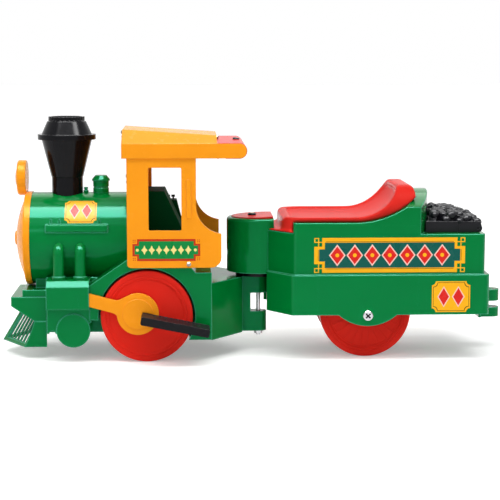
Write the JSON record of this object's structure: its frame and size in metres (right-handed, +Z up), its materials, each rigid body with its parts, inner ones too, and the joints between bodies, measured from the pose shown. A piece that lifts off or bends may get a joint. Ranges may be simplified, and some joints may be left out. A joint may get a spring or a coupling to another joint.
{
  "type": "ride on train",
  "caption": "Battery ride on toy train: a green steam loco with a yellow cab, and a steered tender with a red seat and a coal lid.",
  "frame": {"origin": "on the floor below the middle of the whole train's box", "axes": "+X rearward, from the cowcatcher to the rear coupling, +Y to the train's right side, +Z up"},
  "size_m": [1.1806, 0.444, 0.553],
  "materials": {
    "green_gloss": "gloss",
    "yellow_gloss": "gloss",
    "red_gloss": "gloss",
    "black_plastic": "satin",
    "steel": "brushed",
    "chrome": "polished",
    "nylon": "matte"
  },
  "bodies": {
    "loco": {"loco_chassis": "green_gloss", "boiler_shell": "green_gloss", "boiler_front": "yellow_gloss", "headlamp_lens": "yellow_gloss", "buffer_beam": "green_gloss", "cowcatcher": "green_gloss", "cylinder_left": "green_gloss", "cylinder_right": "green_gloss", "steam_pipes": "green_gloss", "stack_base": "black_plastic", "stack_top": "black_plastic", "steam_dome": "green_gloss", "safety_valve": "green_gloss", "cab_left_wall": "yellow_gloss", "cab_right_wall": "yellow_gloss", "cab_front_wall": "yellow_gloss", "cab_roof": "yellow_gloss", "handlebar": "red_gloss", "backhead_console": "green_gloss", "console_knobs": "black_plastic", "cab_screws": "steel", "front_axle": "steel", "hub_washers": "black_plastic", "connecting_rod_left": "yellow_gloss", "connecting_rod_right": "yellow_gloss", "footrest_left": "black_plastic", "footrest_right": "black_plastic", "turntable_washer": "black_plastic"},
    "front_wheel_left": {"front_wheel_left": "red_gloss"},
    "front_wheel_right": {"front_wheel_right": "red_gloss"},
    "handlebar_button": {"handlebar_button": "black_plastic"},
    "tender": {"tender_body": "green_gloss", "steering_pin": "steel", "pin_nut": "steel", "steering_column": "green_gloss", "column_cap": "red_gloss", "seat": "red_gloss", "lid_hinge_pin": "steel", "battery": "black_plastic", "gearbox_case": "black_plastic", "gearbox_cover": "black_plastic", "motor": "steel", "intermediate_shaft": "steel", "axle_bushes": "nylon", "rear_coupling": "green_gloss"},
    "rear_axle": {"rear_axle": "steel", "axle_caps": "chrome", "rear_wheel_left": "red_gloss", "rear_wheel_right": "red_gloss", "axle_gear": "nylon"},
    "intermediate_gear": {"intermediate_gear": "nylon"},
    "motor_pinion": {"motor_pinion": "nylon"},
    "coal_lid": {"coal_lid": "black_plastic"},
    "column_button": {"column_button": "black_plastic"}
  },
  "joints": [
    {"name": "steering", "type": "hinge", "parent": "loco", "child": "tender", "pos_m": [0.0145, 0, 0.18], "axis": [0, 0, 1], "range_deg": [-30, 30]},
    {"name": "front_wheel_left_spin", "type": "hinge", "parent": "loco", "child": "front_wheel_left", "pos_m": [-0.246, -0.123, 0.105], "axis": [0, 1, 0], "continuous": true},
    {"name": "front_wheel_right_spin", "type": "hinge", "parent": "loco", "child": "front_wheel_right", "pos_m": [-0.246, 0.123, 0.105], "axis": [0, 1, 0], "continuous": true},
    {"name": "rear_axle_spin", "type": "hinge", "parent": "tender", "child": "rear_axle", "pos_m": [0.258, 0, 0.105], "axis": [0, 1, 0], "continuous": true},
    {"name": "intermediate_spin", "type": "hinge", "parent": "tender", "child": "intermediate_gear", "pos_m": [0.20867, -0.012, 0.12296], "axis": [0, 1, 0], "continuous": true},
    {"name": "motor_spin", "type": "hinge", "parent": "tender", "child": "motor_pinion", "pos_m": [0.20215, -0.005, 0.15989], "axis": [0, 1, 0], "continuous": true},
    {"name": "coal_lid_hinge", "type": "hinge", "parent": "tender", "child": "coal_lid", "pos_m": [0.5145, 0, 0.3006], "axis": [0, 1, 0], "range_deg": [0, 100]},
    {"name": "handlebar_button_press", "type": "slide", "parent": "loco", "child": "handlebar_button", "axis": [-0.1392, 0, -0.9903], "range_m": [0, 0.003], "stiffness_N_per_m": 400, "springref_m": -0.001},
    {"name": "column_button_press", "type": "slide", "parent": "tender", "child": "column_button", "axis": [0, 0, -1], "range_m": [0, 0.003], "stiffness_N_per_m": 400, "springref_m": -0.001}
  ],
  "couplings": [
    {"joint": "intermediate_spin", "follows": "rear_axle_spin", "ratio": -4},
    {"joint": "motor_spin", "follows": "rear_axle_spin", "ratio": 16}
  ]
}
